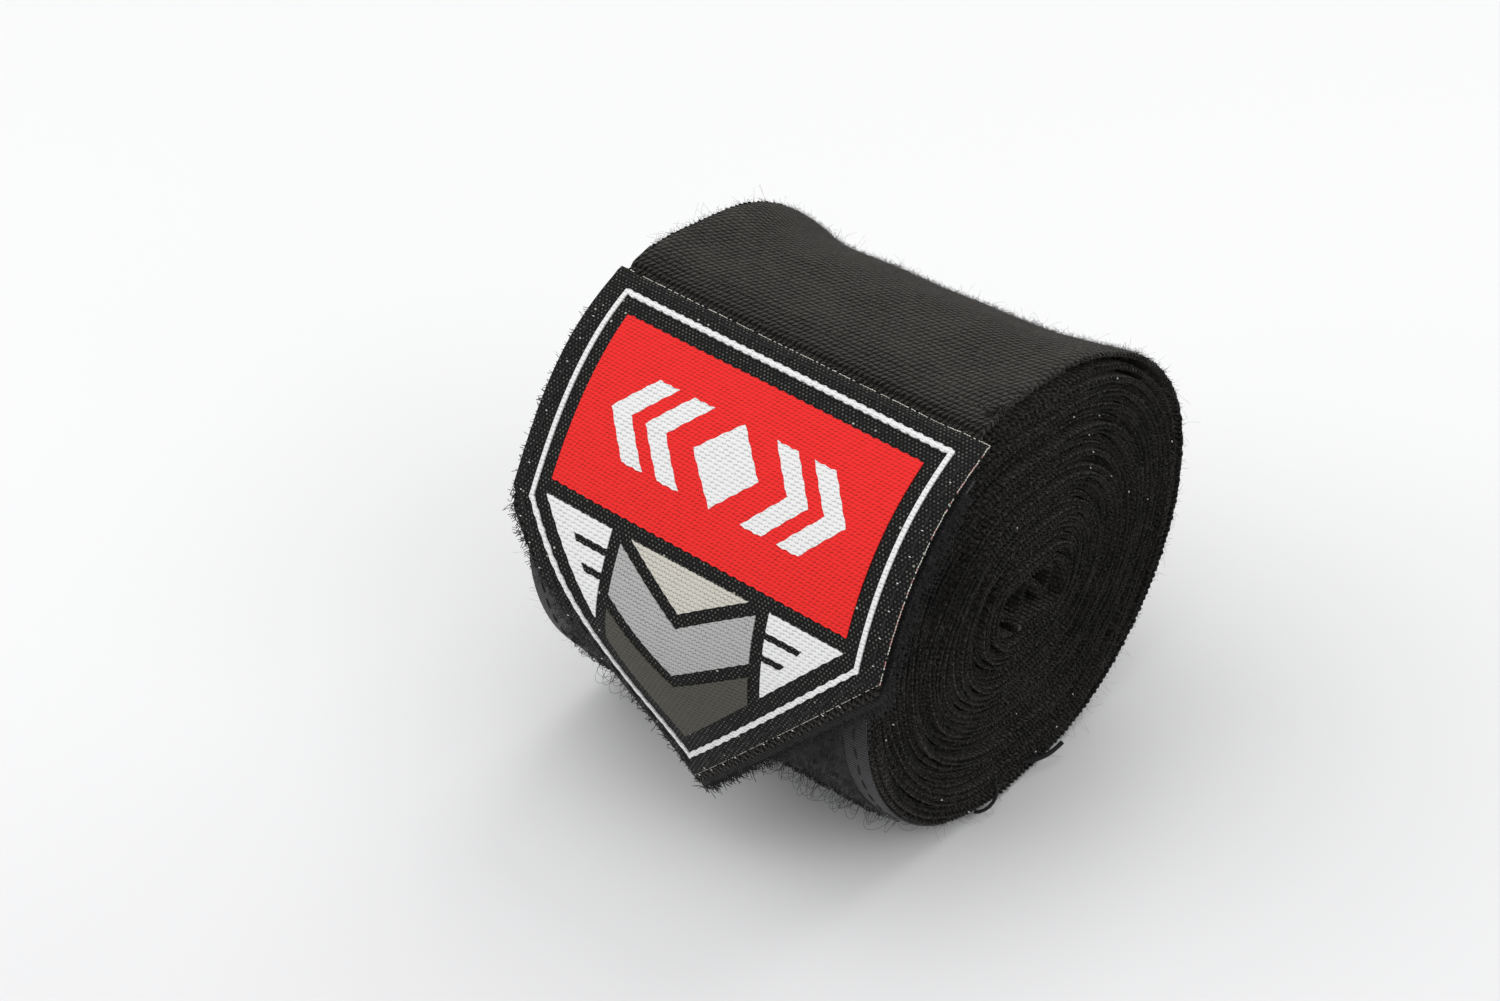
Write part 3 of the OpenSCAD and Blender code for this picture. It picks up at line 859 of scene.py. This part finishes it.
def make_tab():
    """The end of the band under the label, and the hook tape on its inner face."""
    bm = cut_cloth([shield(0.45, -TAIL_LEAD, -0.1)], [], 0.6, 0.0, TAB_UNDER)
    for v in bm.verts:
        if v.co.y < 0.5:
            # Above the tab the cloth is still the full band, which lies off the label's middle.
            wide = (BAND_HALF + math.copysign(TAB_X, -v.co.x)) / (TAB_W / 2 - 0.45)
            v.co.x *= wide + (1 - wide) * max(0.0, min(1.0, (v.co.y + 1.0) / 1.5))
    cloth = wrapped("band_tail", bm, on_tab, COTTON)
    uv = cloth.data.uv_layers["cloth"].data
    for corner in uv:
        corner.uv = (corner.uv[0] + TAB_X, corner.uv[1] + S_TAB)
    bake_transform(cloth)
    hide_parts("tab_cloth")

    bm = cut_cloth([shield(-0.25, 4.0, -0.95)], [], 1.0, TAB_UNDER, TAB_UNDER - TAPE_BASE_T)
    tape = finish(wrapped("hook_tape_weave", bm, on_tab, HOOK_TAPE), "tab", "hook_tape_weave", "hook_tape_base")

    rng = random.Random(8)
    outline = shield(2.6, 5.0)
    lines = []
    for i, s in enumerate(np.arange(5.6, TAB_LEN - 3, HOOK_ROW)):
        for x in np.arange(-TAB_W / 2 + 3 + (i % 2) * HOOK_STEP / 2, TAB_W / 2 - 3, HOOK_STEP):
            if inside((x, s), outline):
                root = TAB_UNDER - TAPE_BASE_T + 0.02
                turn = 1 if i % 2 else -1
                points = [(x, s, root), (x, s, root - 0.34), (x + 0.1 * turn, s + 0.08, root - 0.5),
                          (x + 0.28 * turn, s + 0.14, root - 0.5), (x + 0.36 * turn, s + 0.16, root - 0.38)]
                lines.append(on_tab(np.array(points)) * MM)
    finish(fibres("tape_hooks", lines, 0.16, HOOKS), "tab", "hook_nylon", "hook_rows")

    lines = []
    for _ in range(3400):
        (x0, s0), (x1, s1) = edge_of(shield(-0.2, 6.0, -0.85), rng)
        t = rng.random()
        x, s = x0 + (x1 - x0) * t, s0 + (s1 - s0) * t
        out = np.array([math.copysign(0.5, x), 0.4 if s > SIDE_LEN - 2 else 0.0, rng.uniform(-0.9, 0.1)])
        way = (out + np.array([rng.uniform(-0.4, 0.4) for _ in range(3)])) * rng.uniform(0.15, 0.42)
        bend = np.array([rng.uniform(-0.06, 0.06) for _ in range(3)])
        start = np.array([x, s, TAB_UNDER - rng.uniform(-0.5, 0.75)])
        lines.append(on_tab(np.array([start + way * k + bend * k * k for k in range(4)])) * MM)
    finish(fibres("hook_tape_frayed_edge", lines, 0.08, PILE), "tab", "hook_tape_weave")


def edge_of(outline, rng):
    """One of the outline's free edges: a side or a diagonal, by its length."""
    edges = [(outline[i], outline[(i + 1) % 5]) for i in (1, 2, 3, 4)]
    weights = [math.dist(a, b) for a, b in edges]
    return rng.choices(edges, weights)[0]


# ---------------------------------------------------------------- the label


def row_outline(x0, x1, s0, s1):
    return [(x0, s0), (x1, s0), (x1, s1), (x0, s1)]


def marks():
    """A diamond between two pairs of chevrons, in flat coordinates."""
    middle, tall = PANEL_TOP + PANEL_LEN / 2, 4.8
    outlines = [[(-4.6, middle), (0, middle - tall), (4.6, middle), (0, middle + tall)]]
    for side in (-1, 1):
        for k in (0, 1):
            x = 4.4 + 5.2 * k
            outlines.append(
                [(side * x, middle - tall), (side * (x + 3), middle - tall), (side * (x + 7.2), middle),
                 (side * (x + 3), middle + tall), (side * x, middle + tall), (side * (x + 4.2), middle)]
            )
    return outlines


def clip(outline, keep):
    """Cuts a convex-sided region to the part of an outline's edges where keep is at least zero."""
    out = []
    for a, b in zip(outline, outline[1:] + outline[:1]):
        ka, kb = keep(a), keep(b)
        if ka >= 0:
            out.append(a)
        if (ka >= 0) != (kb >= 0):
            t = ka / (ka - kb)
            out.append((a[0] + (b[0] - a[0]) * t, a[1] + (b[1] - a[1]) * t))
    return out


COLUMN_HALF = 9.6
EMBLEM_TOP = PANEL_TOP + PANEL_LEN + GAP_W
EMBLEM_IN = BORDER_IN + BORDER_W + GAP_W


def vee_part(depth0, depth1, side):
    """One half of a V-shaped band of the emblem, between two depths under its top line."""
    rise = 0.55 * COLUMN_HALF
    top = EMBLEM_TOP - rise
    half = [(0.0, EMBLEM_TOP + depth0), (side * COLUMN_HALF, top + depth0), (side * COLUMN_HALF, top + depth1),
            (0.0, EMBLEM_TOP + depth1)]
    inner = shield(EMBLEM_IN, EMBLEM_TOP)
    tip, slope = inner[3][1], (inner[3][1] - inner[2][1]) / inner[2][0]
    half = clip(half, lambda p: p[1] - EMBLEM_TOP)
    return clip(half, lambda p: tip - slope * abs(p[0]) - p[1])


def label_area(name, outlines, holes, material, slot, node, scallop=0.0, step=0.6, lift=FLOAT_T):
    """Coloured threads that stand a little above the label's ground."""
    bm = cut_cloth(outlines, holes, step, LABEL_T + lift, LABEL_T - 0.1, scallop)
    return finish(wrapped(name, bm, on_tab, material), "tab", slot, node)


def make_label():
    """The woven label: black ground, white line, red panel, its mark and the pointed emblem."""
    bm = cut_cloth([shield(0.0, 0.3, POINT_BACK)], [], 0.8, LABEL_T, 0.06)
    ground = finish(wrapped("label_ground_weave", bm, on_tab, LABEL_BLACK), "tab", "label_black", "label_ground")

    line_middle = BORDER_IN + BORDER_W / 2
    line_in, line_out = line_middle + LINE_THREAD / 2, line_middle - LINE_THREAD / 2
    label_area("label_white_line", [shield(line_out, line_out - 0.1)], [shield(line_in, line_in)], LABEL_WHITE,
               "label_white", "label_border", 0.09, 0.45, 0.2)
    panel = row_outline(-PANEL_W / 2, PANEL_W / 2, PANEL_TOP, PANEL_TOP + PANEL_LEN)
    label_area("label_red_field", [panel], marks(), LABEL_RED, "label_red", "label_red_panel", 0.10, 0.45)
    label_area("label_white_mark", marks(), [], LABEL_WHITE, "label_white", "label_white_motif", 0.08, 0.45, 0.17)
    inner = shield(EMBLEM_IN, EMBLEM_TOP)
    wedges = [clip(inner, lambda p, side=side: side * p[0] - COLUMN_HALF - GAP_W) for side in (-1, 1)]
    slits = []
    for side in (-1, 1):
        for k in (0, 1):
            x, s = side * (COLUMN_HALF + GAP_W - 0.5), EMBLEM_TOP + 2.1 + 2.5 * k
            reach = side * (5.4 - 1.9 * k)
            slits.append([(x, s), (x + reach, s), (x + reach - side * 0.6, s + 0.8), (x, s + 0.8)])
    label_area("label_white_wedges", wedges, slits, LABEL_WHITE, "label_white", "label_corner_wedges", 0.06, 0.45)
    for name, depth0, depth1, material, slot, node in (
        ("label_cream_vee", -1.0, 4.6, LABEL_CREAM, "label_cream", "label_cream_band"),
        ("label_silver_vee", 4.6 + GAP_W, 11.6, LABEL_SILVER, "label_silver", "label_silver_band"),
        ("label_olive_vee", 11.6 + GAP_W, 30.0, LABEL_OLIVE, "label_olive", "label_olive_band"),
    ):
        parts = [vee_part(depth0, depth1, side) for side in (-1, 1)]
        label_area(name, parts, [], material, slot, node, 0.05)

    half = TAB_W / 2
    rows = [(x, 1.5, 90) for x in np.arange(-half + 2.2, half - 2, STITCH_PITCH)]
    stitches("label_upper_seam", rows, LABEL_T, on_tab, "tab", "label_top_seam")
    line = shield(1.3, 3.2, 1.7)
    rows = []
    for a, b in ((line[1], line[2]), (line[2], line[3]), (line[3], line[4]), (line[4], line[0])):
        length = math.dist(a, b)
        turn = math.degrees(math.atan2(-(b[0] - a[0]), b[1] - a[1]))
        for d in np.arange(1.5, length - 1, STITCH_PITCH):
            rows.append((a[0] + (b[0] - a[0]) * d / length, a[1] + (b[1] - a[1]) * d / length, turn))
    stitches("label_outer_seam", rows, LABEL_T, on_tab, "tab", "label_edge_seams")

    rng = random.Random(17)
    specks = [(x + rng.uniform(-0.1, 0.1), s + 1.35, LABEL_T + 0.05, 90, 0) for x, s, _ in rows if rng.random() < 0.8]
    finish(scatter("label_bobbin_specks", specks, (0.1, 0.34, 0.1), on_tab, LINT), "tab", "label_white")
    make_cut_ends(rng)


def make_cut_ends(rng):
    """Cut yarn that shows as pale dashes on the label's edges."""
    outline = shield(0.0, 0.3, POINT_BACK)
    cream, pink = [], []
    for k, (a, b) in enumerate(zip(outline, outline[1:] + outline[:1])):
        length = math.dist(a, b)
        turn = math.degrees(math.atan2(-(b[0] - a[0]), b[1] - a[1]))
        for d in np.arange(0.2, length, 0.32):
            place = (a[0] + (b[0] - a[0]) * d / length, a[1] + (b[1] - a[1]) * d / length,
                     LABEL_T - (0.14 if k != 0 else 0.0) + rng.uniform(-0.05, 0.05), turn + rng.uniform(-15, 15), 0)
            side = k in (1, 4)
            if rng.random() < (0.85 if side else 0.7):
                (pink if side and rng.random() < 0.45 else cream).append(place)
    finish(scatter("label_cut_cream", cream, (0.15, 0.36, 0.2), on_tab, CUT_ENDS), "tab", "label_cream")
    finish(scatter("label_cut_pink", pink, (0.15, 0.42, 0.2), on_tab, PINK_ENDS), "tab", "label_red")


# ---------------------------------------------------------------- loose threads and lint


# Half width of the loose loop of sewing thread.
LOOP_SPAN = 1.9


def make_loose_threads():
    """The loop of sewing thread and the cut end that stand out of the end of the roll, and lint."""
    low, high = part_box("loose_thread_loop")
    middle = (low + high) / 2 / MM
    points = []
    for k in range(19):
        a = PI * (1.75 * k / 18 - 0.4)
        out = middle.x - 0.9 + LOOP_SPAN * max(-0.55, math.cos(a))
        points.append((out, middle.y - 0.3 + LOOP_SPAN * math.sin(a), 2.0 + 1.1 * math.sin(a)))
    finish(fibres("loose_loop", [np.array(points) * MM], 0.42, THREAD, 2), "roll", "black_thread", "loose_thread_loop")
    low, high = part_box("loose_thread_end")
    start = np.array([low.x / MM - 0.6, low.y / MM - 1.4, 1.7])
    end = np.array([high.x / MM - 1.6, high.y / MM + 1.9, 2.9])
    points = [start + (end - start) * f + np.array([0.5 * math.sin(PI * f), 0, -0.5 * math.sin(PI * f)])
              for f in np.linspace(0, 1, 9)]
    finish(fibres("loose_end", [np.array(points) * MM], 0.55, THREAD, 2), "roll", "black_thread", "loose_thread_end")

    rng = random.Random(29)
    specks = []
    for _ in range(34):
        s = S_OUTER * math.sqrt(rng.uniform(0.02, 1.0))
        specks.append((rng.choice((-1, 1)) * (BAND_HALF + 0.25), s, rng.uniform(-0.5, 0.0), rng.uniform(0, 180), 20))
    finish(scatter("lint_specks", specks, (0.16, 0.3, 0.14), on_band, LINT), "roll", "label_white")


# ---------------------------------------------------------------- stage, light and camera


def make_stage():
    bm = bmesh.new()
    bmesh.ops.create_grid(bm, x_segments=4, y_segments=4, size=3.0)
    mesh = bpy.data.meshes.new("floor")
    bm.to_mesh(mesh)
    bm.free()
    floor = add_object("floor", mesh, paper_floor())

    world = bpy.data.worlds.new("studio")
    bpy.context.scene.world = world
    world.use_nodes = True
    world.node_tree.nodes["Background"].inputs[0].default_value = (0.985, 0.99, 1.0, 1)
    world.node_tree.nodes["Background"].inputs[1].default_value = 0.60
    # Each light's place and size are in metres and its power in watts.
    for name, place, size, power in (
        ("key", (-0.18, -0.20, 0.88), 0.8, 2.8),
        ("front", (-0.55, -0.80, 0.50), 0.9, 4.6),
        ("side", (0.85, -0.10, 0.55), 0.9, 3.3),
        ("back", (-0.05, 0.80, 0.80), 0.9, 3.7),
    ):
        data = bpy.data.lights.new(name, "AREA")
        data.size = size
        data.energy = power
        light = bpy.data.objects.new(name, data)
        light.location = place
        light.rotation_euler = (Vector((0, 0, 0.03)) - Vector(place)).to_track_quat("-Z", "Y").to_euler()
        bpy.context.scene.collection.objects.link(light)
    bpy.context.scene.view_settings.view_transform = "Standard"


def make_camera():
    """A long lens from the front right, above the roll, which sits right of the middle."""
    azimuth, elevation, distance = math.radians(37.61), math.radians(34.69), 0.3259
    roll_middle = Vector((0, 0, 0.0285))
    back = Vector(
        (math.sin(azimuth) * math.cos(elevation), -math.cos(azimuth) * math.cos(elevation), math.sin(elevation))
    )
    right = Vector((math.cos(azimuth), math.sin(azimuth), 0))
    aim = roll_middle - right * 0.0126 - back.cross(right) * 0.0007
    data = bpy.data.cameras.new("camera")
    data.lens = 67.15
    camera = bpy.data.objects.new("camera", data)
    camera.location = roll_middle + back * distance
    camera.rotation_euler = (aim - camera.location).to_track_quat("-Z", "Y").to_euler()
    bpy.context.scene.collection.objects.link(camera)
    bpy.context.scene.camera = camera


make_camera()
make_stage()
make_band()
make_fuzz()
make_thumb_loop()
make_loop_tape()
make_tab()
make_label()
make_loose_threads()
